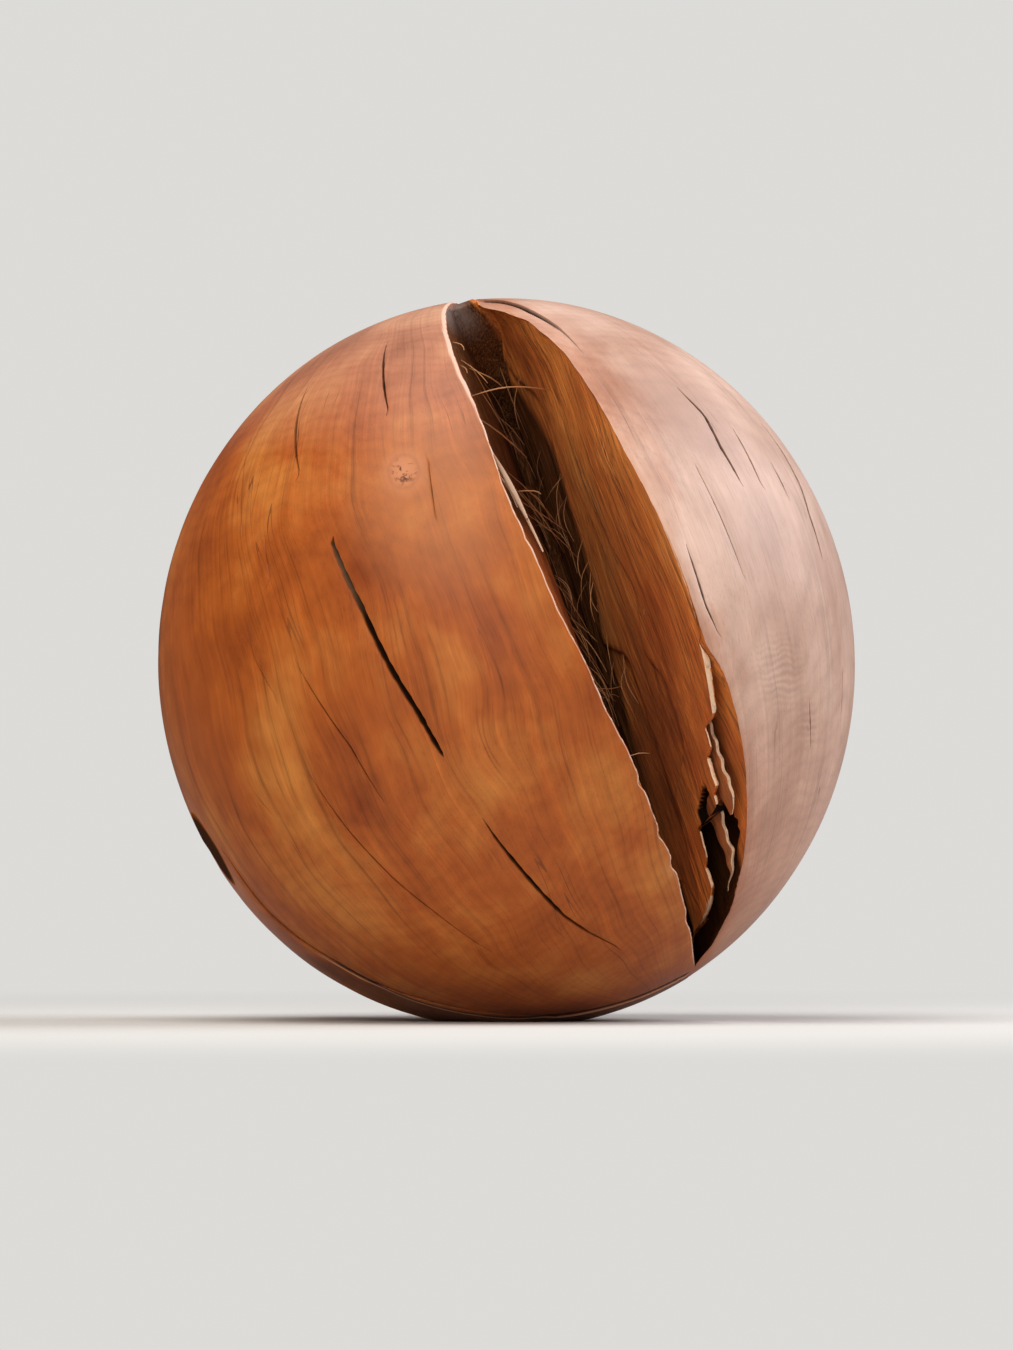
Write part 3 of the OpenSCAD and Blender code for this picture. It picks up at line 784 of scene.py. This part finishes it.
def on_skin(angle, height):
    """A place on the skin in the pith frame, in mm, from its angle round the pith in degrees and its height."""
    angle = math.radians(angle % 360)
    polar = np.linspace(0.01, math.pi - 0.01, 2000)
    distance = reach(polar, np.full(polar.shape, angle))
    k = int(np.argmin(np.abs(distance * np.cos(polar) - height)))
    return spot(distance[k] * math.sin(polar[k]), angle, height)


def new_material(name):
    """A material with its nodes, its shader's inputs, the pith frame and the wood's figure, ready to link."""
    material = bpy.data.materials.new(name)
    material.use_nodes = True
    n = Nodes(material.node_tree)
    pith = n.shared("Pith Frame", pith_frame_group, {"Vector": n.object_place()})
    figure = n.shared("Wood Figure", figure_group, {"Vector": pith["Vector"], "Radius": pith["Radius"]})
    return material, n, n.tree.nodes["Principled BSDF"].inputs, pith, figure


def skin_material(look):
    """Turned and handled outside wood."""
    material, n, shader, pith, figure = new_material("Turned wood")
    place, grain, clouds = pith["Vector"], figure["Grain"], figure["Clouds"]
    x, _, up = n.axes(n.object_place())
    # Painted sheen: the right side, as far round as the light reaches it, and the crown are painted paler and pinker in
    # place of the broad reflection of the cool window light and the sky
    turn = n.scale(clouds, 0.5, n.math("ADD", pith["Angle"], -0.25))
    painted_sheen = n.ramp(n.scale(turn, 0.25, 0.3), (0.32, 0), (0.42, 1), (0.72, 1), (0.86, 0))
    painted_sheen = n.times(painted_sheen, n.fit(up, 3.2, 0.3))
    painted_sheen = n.math("MAXIMUM", painted_sheen, n.times(n.fit(up, 9.0, -3.25), 0.6))
    brown = n.ramp(clouds, (0.3, look.deep_colour), (0.5, look.wood_colour), (0.72, look.light_colour))
    pink = n.ramp(clouds, (0.3, srgb(166, 124, 103)), (0.5, look.sheen_colour), (0.72, srgb(212, 176, 158)))
    colour = n.mix(painted_sheen, brown, pink)
    streaks = n.ramp(grain, (0.32, 0.5), (0.45, 0.92), (0.55, 1.0), (0.72, 1.3))
    colour = n.tint(n.scale(painted_sheen, -0.45, 0.85), colour, streaks)
    colour = n.tint(0.3, colour, n.ramp(figure["Pores"], (0.33, 0.6), (0.45, 1.0)))
    # Growth rings, which close round a swirl in the middle of the front
    swirl = n.near(place, on_skin(-14, -62), (55, 60, 100))
    ring = n.scale(n.math("SINE", n.scale(swirl, 32.0, n.times(clouds, 26.0))), 0.5, 0.5)
    ring = n.mix(n.times(swirl, 2.0, clamp=True), figure["Rings"], ring)
    colour = n.tint(0.35, colour, n.ramp(ring, (0.0, 0.84), (0.4, 1.0), (1.0, 1.06)))
    colour = n.mix(n.times(figure["Hairs"], 0.6), colour, srgb(74, 36, 20))
    # Paler and darker patches: a paler tone round the knot; a painted sheen on the crown's right; painted shade below
    # it, which tones down the window light's bright spot; and painted light on the left side, paler and more orange
    # where little light falls
    for middle, half, tone, amount in (((-14, 112), (70, 60, 85), srgb(204, 146, 98), 0.24),
                                       ((29, 200), (45, 50, 45), srgb(232, 200, 184), 0.22),
                                       ((37, 116), (50, 60, 62), srgb(150, 110, 92), 0.55),
                                       ((-62, 60), (60, 60, 90), srgb(204, 108, 44), 0.27)):
        patch = n.times(n.near(place, on_skin(*middle), half), 1.6, clamp=True)
        colour = n.mix(n.times(patch, amount), colour, tone)
    # Knot, with a darker ring and dark pits in its middle
    knot = n.near(place, on_skin(-18.6, 131), (17, 17, 24))
    pitted = n.fit(n.noise(place, (190, 190, 210), 4.0, 0.65, 0.8), 9.0, -4.7)
    edge_of_knot = n.fit(n.math("ABSOLUTE", n.math("ADD", knot, -0.42)), -7.0, 0.8)
    colour = n.mix(n.times(knot, 1.2, clamp=True), colour, srgb(190, 122, 80))
    colour = n.mix(n.times(edge_of_knot, 0.25), colour, srgb(128, 64, 38))
    colour = n.mix(n.times(n.fit(knot, 3.0, -1.2), pitted), colour, srgb(84, 36, 20))
    # Curly grain across the fibres, in two small patches on the right
    wave = n.times(n.axes(place)[2], 1500.0)
    curl = n.math("SINE", n.scale(n.noise(place, (60, 60, 30), 2.0), 16.0, wave))
    curly = n.math("MAXIMUM", n.near(place, on_skin(36, -62), (28, 34, 34)),
                   n.near(place, on_skin(44, -95), (13, 22, 26)))
    curly = n.times(n.scale(curl, 0.5, 0.5), curly)
    colour = n.mix(n.times(curly, 0.28), colour, srgb(104, 62, 44))
    # Dark bark left on the worn patch
    bark = n.scale(clouds, 0.5, n.near(place, PATCH_WAY * PATCH_AT - START, (34, 34, 34)))
    bark = n.ramp(bark, (0.42, 0), (0.6, 1))
    colour = n.mix(bark, colour, srgb(66, 42, 30))
    # Pale lip: a painted highlight along the worn bevel of each lip
    lip = n.ramp(n.scale(grain, 1.1, n.math("ADD", n.attribute("lip"), -0.5)), (0.55, 0), (0.85, 1))
    colour = n.mix(n.times(lip, 0.85), colour, srgb(218, 184, 164))
    # The ledge: a wide painted shade behind it, where its proud side faces down, a painted highlight along its proud
    # side, and a crack
    here = n.times(n.fit(up, -125.0, 5.6), n.fit(x, -250.0, 29.5))
    behind = n.scale(clouds, 2.0, n.math("ADD", n.attribute("ledge"), -1.0))
    for middle, half, tone, amount in ((4.0, 40.0, srgb(58, 30, 20), 0.6), (2.0, 1.1, srgb(206, 150, 116), 0.8),
                                       (-0.2, 1.2, srgb(36, 18, 12), 0.9)):
        strip = n.fit(n.math("ABSOLUTE", n.math("SUBTRACT", behind, middle)), -2.0 / half, 2.0)
        if half > 10:
            strip = n.times(strip, n.math("GREATER_THAN", behind, 1.0))
        colour = n.mix(n.times(strip, n.times(here, amount)), colour, tone)
    # Checks, painted dark inside as shade, with painted light that makes the top end of the long one paler and
    # grey-brown
    check_light = n.times(n.near(place, on_skin(-30, 82), (30, 30, 34)), 1.6, clamp=True)
    inside = n.mix(check_light, srgb(44, 26, 17), srgb(122, 94, 70))
    colour = n.mix(n.times(n.attribute("depth"), 0.35, clamp=True), colour, inside)
    n.link(colour, shader["Base Color"])
    n.link(n.scale(bark, 0.4, n.scale(clouds, 0.2, 0.39)), shader["Roughness"])
    polish = n.scale(painted_sheen, 0.26, n.scale(n.fit(x, 9.0, 1.7), 0.16, 0.06))
    n.link(n.fit(bark, -0.25, polish), shader["Specular IOR Level"])
    relief = n.math("SUBTRACT", n.scale(figure["Pores"], 0.5, grain), n.times(figure["Hairs"], 0.5))
    n.link(n.bump(relief, 0.15, 0.0006), shader["Normal"])
    return material


def torn_material(look, name="Torn wood", splinter=False):
    """Torn wood inside the fissure: amber on its walls, decayed and dust-covered round the pith, with painted shade,
    highlights and light, and a painted reflection of the sky near the crown.
    """
    material, n, shader, pith, figure = new_material(name)
    fibres, pores, clouds = figure["Fibres"], figure["Pores"], figure["Clouds"]
    colour = n.ramp(clouds, (0.28, srgb(120, 58, 22)), (0.42, srgb(186, 98, 38)), (0.55, look.torn_colour),
                    (0.75, srgb(232, 150, 74)))
    # Painted shade: the torn wood is darker deeper in from the skin
    inset = n.scale(n.attribute("inset"), 0.006, n.times(clouds, 0.4))
    colour = n.tint(1.0, colour, n.ramp(inset, (0.15, 1.0), (0.6, 0.95), (1.0, 0.75)))
    streaks = n.ramp(fibres, (0.3, 0.3), (0.46, 0.9), (0.6, 1.05), (0.78, 1.5))
    colour = n.tint(0.8, colour, streaks)
    colour = n.tint(0.6, colour, n.ramp(pores, (0.3, 0.45), (0.5, 1.0), (0.7, 1.25)))
    # Painted light: the right wall lighter high up and low down
    painted_wall_light = n.scale(n.attribute("painted_wall_light"), 0.5, 1.0)
    colour = n.tint(1.0, colour, n.joined(painted_wall_light, painted_wall_light, painted_wall_light))
    # Fine dark splits along the fibres, and shade at the foot of each step
    split = n.math("SUBTRACT", n.noise(pith["Vector"], (85, 85, 3.2), 3.0, 0.5), 0.5)
    split = n.times(n.fit(n.math("ABSOLUTE", split), -60.0, 1.0), n.fit(clouds, 5.0, -1.9))
    colour = n.mix(n.times(split, 0.7), colour, srgb(60, 28, 12))
    patchy = n.fit(clouds, 2.0, -0.3)
    crease = n.times(n.attribute("crease"), patchy)
    colour = n.mix(n.times(crease, 0.85, clamp=True), colour, srgb(46, 22, 12))
    if splinter:
        colour = n.mix(n.scale(n.attribute("tip"), 0.3, 0.4), colour, srgb(112, 78, 54))
    # Dust-covered decayed wood round the pith, a painted grey reflection of the sky near the crown, and painted shade
    # in the deep gaps
    decay = n.attribute("decay")
    rotten = n.fit(decay, 1.9, n.scale(clouds, 1.8, -1.6))
    rotten = n.times(rotten, n.times(decay, 3.0, clamp=True))
    dust = n.ramp(pores, (0.34, srgb(46, 24, 13)), (0.5, srgb(72, 42, 24)), (0.68, srgb(112, 72, 44)))
    colour = n.mix(n.times(rotten, 0.92), colour, n.tint(0.9, dust, streaks))
    # Painted reflection of the sky, grey, near the crown
    patchy_sky_reflection = n.times(n.attribute("painted_sky_reflection"), patchy)
    colour = n.mix(n.times(patchy_sky_reflection, 0.85), colour, srgb(124, 108, 102))
    # Painted shade, near black, in the deep gaps
    painted_shade = n.times(n.attribute("painted_shade"), 1.0, clamp=True)
    colour = n.mix(painted_shade, colour, srgb(15, 8, 5))
    # Painted highlight along the broken edges
    pale = n.ramp(n.scale(fibres, 0.2, n.attribute("rim")), (0.86, 0), (0.98, 1))
    colour = n.mix(n.times(pale, 0.85), colour, srgb(232, 200, 168))
    n.link(colour, shader["Base Color"])
    shader["Roughness"].default_value = 0.75
    n.link(n.scale(n.math("MAXIMUM", painted_shade, rotten), -0.35, 0.4), shader["Specular IOR Level"])
    relief = n.math("SUBTRACT", n.scale(pores, 0.5, fibres), n.times(split, 0.5))
    n.link(n.bump(relief, 0.8, 0.002), shader["Normal"])
    return material


def fibre_material(name, dark, pale):
    """Loose fibres, streaked from a dark to a pale colour."""
    material, n, shader, _, figure = new_material(name)
    n.link(n.ramp(figure["Clouds"], (0.35, dark), (0.65, pale)), shader["Base Color"])
    shader["Roughness"].default_value = 0.7
    return material


def floor_material(look):
    """Pale floor, which fades into the even background away from the ball."""
    material = bpy.data.materials.new("Floor")
    material.use_nodes = True
    n = Nodes(material.node_tree)
    shader = n.tree.nodes["Principled BSDF"]
    for name, value in (("Base Color", rgba(look.floor_colour)), ("Roughness", 0.9), ("Specular IOR Level", 0.1)):
        shader.inputs[name].default_value = value
    away = n.vector("LENGTH", n.object_place())
    fade = n.add("MapRange", {"Value": away, "From Min": 0.35, "From Max": 1.5}, interpolation_type="SMOOTHSTEP")[0]
    seen_first = n.add("LightPath")["Is Camera Ray"]
    backdrop = n.add("Emission", {"Color": rgba(look.backdrop_colour), "Strength": 1.0})[0]
    mixed = n.add("MixShader", {0: n.times(fade, seen_first), 1: shader.outputs[0], 2: backdrop})[0]
    n.link(mixed, n.tree.nodes["Material Output"].inputs["Surface"])
    return material


def colour_setting(name, description, default):
    return bpy.props.FloatVectorProperty(name=name, description=description, subtype="COLOR", size=3, min=0, max=1,
                                         default=default)


class BallLook(bpy.types.PropertyGroup):
    """Colours and sizes of the ball's finish."""
    wood_colour: colour_setting("Wood", "Colour of the turned wood between its streaks", srgb(166, 84, 30))
    deep_colour: colour_setting("Dark clouds", "Colour of the darker patches of the turned wood", srgb(128, 56, 18))
    light_colour: colour_setting("Pale clouds", "Colour of the paler patches of the turned wood", srgb(194, 120, 54))
    # Colour of the painted sheen: the right side painted paler and pinker in place of the cool light's reflection
    sheen_colour: colour_setting("Painted sheen", "Colour of the wood on the bleached right side", srgb(188, 150, 131))
    torn_colour: colour_setting("Torn wood", "Colour of the torn wood in the fissure", srgb(212, 122, 50))
    loose_fibres: bpy.props.IntProperty(name="Loose fibres", min=0, max=400, default=42,
                                        description="Number of thin fibres that line the decayed heart")


class StageLook(bpy.types.PropertyGroup):
    """Floor, backdrop and lights of the studio."""
    floor_colour: colour_setting("Floor", "Colour of the floor round the ball", (0.6, 0.59, 0.57))
    backdrop_colour: colour_setting("Backdrop", "Colour of the even background", (0.72, 0.71, 0.69))
    window_power: bpy.props.FloatProperty(name="Window", description="Power of the cool light on the right",
                                          unit="POWER", min=0, max=500, default=68)
    fill_power: bpy.props.FloatProperty(name="Fill", description="Power of the soft light on the left",
                                        unit="POWER", min=0, max=500, default=42)


class OBJECT_OT_split_ball(bpy.types.Operator):
    """Builds the split ball: its turned skin, the checks in it and the fissure's torn walls"""
    bl_idname = "object.split_ball"
    bl_label = "Split Ball"

    def execute(self, context):
        look = context.scene.ball_look
        points, depth, lip, ledge, foot = skin()
        torn, layers = walls((points[:, -1], points[:, 0]), foot + 1)
        bm = bmesh.new()
        add_grid(bm, points, {"depth": depth, "lip": lip, "ledge": ledge}, 0)
        add_grid(bm, torn, layers, 1)
        bmesh.ops.remove_doubles(bm, verts=bm.verts, dist=WELD)
        bmesh.ops.dissolve_degenerate(bm, edges=bm.edges, dist=WELD / 10)
        cut = bmesh.ops.bisect_plane(bm, geom=bm.verts[:] + bm.edges[:] + bm.faces[:], plane_co=(0, 0, 0),
                                     plane_no=(0, 0, -1), clear_outer=True)["geom_cut"]
        rim = [item for item in cut if isinstance(item, bmesh.types.BMEdge)]
        bmesh.ops.contextual_create(bm, geom=rim, mat_nr=0)
        if any(len(edge.link_faces) != 2 for edge in bm.edges):
            raise RuntimeError("the ball's mesh isn't closed")
        piece = new_piece(bm, "split_ball", [skin_material(look), torn_material(look)])
        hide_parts("ball")
        return {"FINISHED"}


class OBJECT_OT_ball_splinters(bpy.types.Operator):
    """Builds the two short splinters that stand in the gap behind the fissure's right wall"""
    bl_idname = "object.ball_splinters"
    bl_label = "Splinters"

    def execute(self, context):
        material = torn_material(context.scene.ball_look, "Splinter", True)
        # Each has its direction round the pith, its inner and outer edge as (height, distance) knots, and a seed
        plates = {
            "flap": (21.3, [(-60, 128), (-118, 140), (-135, 148)],
                     [(-60, 166), (-108, 163), (-120, 165), (-131, 159), (-135, 150)], 5),
            "short_tongue": (22.0, [(-100, 104), (-154, 114), (-176, 112)],
                             [(-100, 136), (-133, 129), (-144, 125), (-155, 127), (-164, 118), (-171, 107),
                              (-176, 97)], 8),
        }
        for name, (plane, inner, outer, seed) in plates.items():
            bm = bmesh.new()
            add_plate(bm, plane, inner, outer, seed)
            bmesh.ops.remove_doubles(bm, verts=bm.verts, dist=WELD)
            new_piece(bm, name, [material])
        return {"FINISHED"}


def rooted(ball, path):
    """A strand's path, in mm, with its first place moved into the nearest wood."""
    root_depth = 0.4
    hit, where, normal, _ = ball.closest_point_on_mesh(path[0] / METRE)
    if not hit:
        raise RuntimeError("a strand has no wood near it")
    return [where * METRE - normal * root_depth, *path[1:]]


class OBJECT_OT_ball_fibres(bpy.types.Operator):
    """Builds the loose fibres that hang in the fissure and the pale shard on its left lip"""
    bl_idname = "object.ball_fibres"
    bl_label = "Fibres"

    def execute(self, context):
        look = context.scene.ball_look
        ball = bpy.data.objects["split_ball"]
        bm = bmesh.new()
        for thick, path in FIBRES:
            add_thread(bm, rooted(ball, [CENTRE + Vector(place) for place in path]), thick)
        draw = random.Random(LOOSE_SEED)
        for _ in range(look.loose_fibres):
            height, r = draw.uniform(-20, 196), draw.uniform(24, 62)
            angle = draw.uniform(LEFT_LIP(height) + 3, RIGHT_LIP(height) - 3)
            path = []
            for k in range(4):
                place = PITH_TURN @ Vector(spot(r, math.radians(angle), height)) + PITH_AT
                path.append(place)
                height -= draw.uniform(5, 15)
                r += draw.uniform(-12, 12)
                angle += draw.uniform(-7, 7) * 24 / r
            add_thread(bm, rooted(ball, path), draw.uniform(0.25, 0.6))
        new_piece(bm, "fibres", [fibre_material("Fibre", srgb(112, 66, 36), srgb(198, 138, 88))])
        bm = bmesh.new()
        for thick, path in SHARDS:
            add_thread(bm, rooted(ball, [CENTRE + Vector(place) for place in path]), thick, 8)
        new_piece(bm, "lip_shard", [fibre_material("Pale shard", srgb(150, 112, 84), srgb(204, 172, 146))])
        return {"FINISHED"}


# The stage, in metres: a far camera with a long lens, which looks slightly up at the ball's middle
LENS, CAMERA_AWAY, CAMERA_Z, CAMERA_AIM_Z = 415, 10, 0.16, 0.222
MIDDLE_Z = 0.22
FLOOR_R = 16


def aimed(name, data, place, target):
    """An object of a light or a camera that stands at a place and looks at a target."""
    thing = bpy.data.objects.new(name, data)
    thing.location = place
    thing.rotation_euler = (Vector(target) - Vector(place)).to_track_quat("-Z", "Y").to_euler()
    return thing


class OBJECT_OT_ball_stage(bpy.types.Operator):
    """Builds the floor, the backdrop, the lights and the camera"""
    bl_idname = "object.ball_stage"
    bl_label = "Stage"

    def execute(self, context):
        look = context.scene.stage_look
        bm = bmesh.new()
        bmesh.ops.create_circle(bm, cap_ends=True, segments=96, radius=FLOOR_R)
        mesh = bpy.data.meshes.new("floor")
        bm.to_mesh(mesh)
        bm.free()
        floor = bpy.data.objects.new("floor", mesh)
        mesh.materials.append(floor_material(look))
        made = [floor]
        lights = (
            ("window", (2.1, 0.5, 1.7), (2.4, 1.8), look.window_power, (0.92, 0.94, 1.0)),
            ("fill", (-0.9, -3.1, 1.8), (1.5, 1.3), look.fill_power, (1.0, 0.95, 0.88)),
            ("front", (-0.1, -4.2, 0.9), (0.8, 0.6), look.fill_power * 0.5, (1.0, 0.96, 0.9)),
            ("top", (-0.6, -0.6, 2.6), (1.8, 1.8), look.fill_power * 1.35, (1.0, 0.97, 0.93)),
        )
        for name, place, size, power, colour in lights:
            data = bpy.data.lights.new(name, "AREA")
            data.shape, data.size, data.size_y = "RECTANGLE", *size
            data.energy, data.color = power, colour
            made.append(aimed(name, data, place, (0, 0, MIDDLE_Z)))
        world = bpy.data.worlds.new("studio")
        world.use_nodes = True
        n = Nodes(world.node_tree)
        ambient = n.tree.nodes["Background"]
        ambient.inputs["Color"].default_value = (1.0, 0.97, 0.93, 1)
        ambient.inputs["Strength"].default_value = 0.22
        seen = n.add("Background", {"Color": rgba(look.backdrop_colour), "Strength": 1.0})[0]
        mixed = n.add("MixShader", {0: n.add("LightPath")["Is Camera Ray"], 1: ambient.outputs[0], 2: seen})[0]
        n.link(mixed, n.tree.nodes["World Output"].inputs["Surface"])
        context.scene.world = world
        data = bpy.data.cameras.new("camera")
        data.lens = LENS
        camera = aimed("camera", data, (CENTRE.x * MM, -CAMERA_AWAY, CAMERA_Z), (CENTRE.x * MM, 0, CAMERA_AIM_Z))
        made.append(camera)
        for thing in made:
            context.collection.objects.link(thing)
        context.scene.camera = camera
        context.scene.view_settings.view_transform = "Standard"
        return {"FINISHED"}


class VIEW3D_PT_split_ball(bpy.types.Panel):
    """Lists the ball's steps and their settings"""
    bl_label = "Split Wooden Ball"
    bl_idname = "VIEW3D_PT_split_ball"
    bl_space_type = "VIEW_3D"
    bl_region_type = "UI"
    bl_category = "Ball"

    def draw(self, context):
        for look in (context.scene.ball_look, context.scene.stage_look):
            for name in look.bl_rna.properties.keys():
                if name not in ("name", "rna_type"):
                    self.layout.prop(look, name)
        for step in STEPS:
            self.layout.operator(step.bl_idname)


STEPS = (OBJECT_OT_split_ball, OBJECT_OT_ball_splinters, OBJECT_OT_ball_fibres, OBJECT_OT_ball_stage)
CLASSES = (BallLook, StageLook, *STEPS, VIEW3D_PT_split_ball)


def register():
    for cls in CLASSES:
        bpy.utils.register_class(cls)
    bpy.types.Scene.ball_look = bpy.props.PointerProperty(type=BallLook)
    bpy.types.Scene.stage_look = bpy.props.PointerProperty(type=StageLook)


def unregister():
    del bpy.types.Scene.stage_look
    del bpy.types.Scene.ball_look
    for cls in reversed(CLASSES):
        bpy.utils.unregister_class(cls)


def main():
    """Builds every piece in order."""
    register()
    bpy.ops.object.split_ball()
    bpy.ops.object.ball_splinters()
    bpy.ops.object.ball_fibres()
    bpy.ops.object.ball_stage()


if __name__ == "__main__":
    main()
